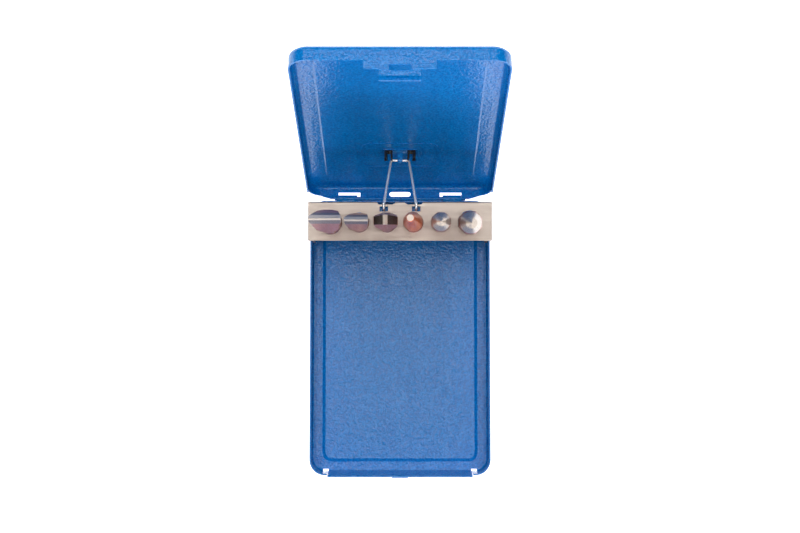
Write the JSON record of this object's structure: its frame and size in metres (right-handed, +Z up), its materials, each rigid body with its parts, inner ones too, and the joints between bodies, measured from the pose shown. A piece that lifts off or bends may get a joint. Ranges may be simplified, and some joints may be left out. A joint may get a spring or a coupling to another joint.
{
  "type": "chisel and punch case",
  "caption": "Hinged pressed-steel case standing open, with a rack that the lid raises by a wire bail to present chisels and punches.",
  "frame": {"origin": "middle of the tray's underside, on the surface it stands on", "axes": "+X to the right along the row of tools, +Y to the hinge, +Z up"},
  "size_m": [0.1084, 0.2207, 0.178],
  "materials": {
    "blue_paint": "glossy blue hammered enamel",
    "rack_steel": "bare zinc-plated sheet, satin",
    "wire_steel": "bright drawn spring wire",
    "plated_steel": "zinc-plated rivet",
    "black_plastic": "moulded black",
    "lacquered_steel": "copper-tinted clear lacquer on octagonal shanks, ground bright ends",
    "copper_steel": "strong copper lacquer, ground bright ends"
  },
  "bodies": {
    "tray": {"tray": "blue_paint", "left_pivot_rivet": "plated_steel", "right_pivot_rivet": "plated_steel"},
    "lid": {"lid": "blue_paint", "bail_saddle": "blue_paint", "left_bail_clip": "black_plastic", "right_bail_clip": "black_plastic"},
    "rack": {"tool_rack": "rack_steel"},
    "bail": {"wire_bail": "wire_steel"},
    "large_flat_chisel": {"large_flat_chisel": "lacquered_steel"},
    "small_flat_chisel": {"small_flat_chisel": "lacquered_steel"},
    "cape_chisel": {"cape_chisel": "lacquered_steel"},
    "drift_punch": {"drift_punch": "copper_steel"},
    "small_centre_punch": {"small_centre_punch": "lacquered_steel"},
    "large_centre_punch": {"large_centre_punch": "lacquered_steel"}
  },
  "joints": [
    {"name": "lid_hinge", "type": "hinge", "parent": "tray", "child": "lid", "pos_m": [0, 0.0816, 0.0164], "axis": [-1, 0, 0], "range_deg": [-107.4, 0]},
    {"name": "rack_pivot", "type": "hinge", "parent": "tray", "child": "rack", "pos_m": [0, 0.0645, 0.0107], "axis": [-1, 0, 0], "range_deg": [-87.1, 0]},
    {"name": "bail_pivot", "type": "hinge", "parent": "lid", "child": "bail", "pos_m": [0, 0.09902, 0.05527], "axis": [-1, 0, 0], "range_deg": [0, 94.5]},
    {"name": "large_flat_chisel_slide", "type": "slide", "parent": "rack", "child": "large_flat_chisel", "axis": [0.019, -0.0702, 0.9973], "range_m": [0, 0.065]},
    {"name": "small_flat_chisel_slide", "type": "slide", "parent": "rack", "child": "small_flat_chisel", "axis": [0.003, -0.0702, 0.9975], "range_m": [0, 0.065]},
    {"name": "cape_chisel_slide", "type": "slide", "parent": "rack", "child": "cape_chisel", "axis": [-0.003, -0.0687, 0.9976], "range_m": [0, 0.065]},
    {"name": "drift_punch_slide", "type": "slide", "parent": "rack", "child": "drift_punch", "axis": [-0.0355, -0.0523, 0.998], "range_m": [0, 0.065]},
    {"name": "small_centre_punch_slide", "type": "slide", "parent": "rack", "child": "small_centre_punch", "axis": [-0.025, -0.0829, 0.9962], "range_m": [0, 0.065]},
    {"name": "large_centre_punch_slide", "type": "slide", "parent": "rack", "child": "large_centre_punch", "axis": [-0.0355, -0.0941, 0.9949], "range_m": [0, 0.065]}
  ],
  "couplings": [
    {"joint": "rack_pivot", "follows": "lid_hinge", "ratio": 0.81006},
    {"joint": "bail_pivot", "follows": "lid_hinge", "ratio": -0.87616}
  ]
}
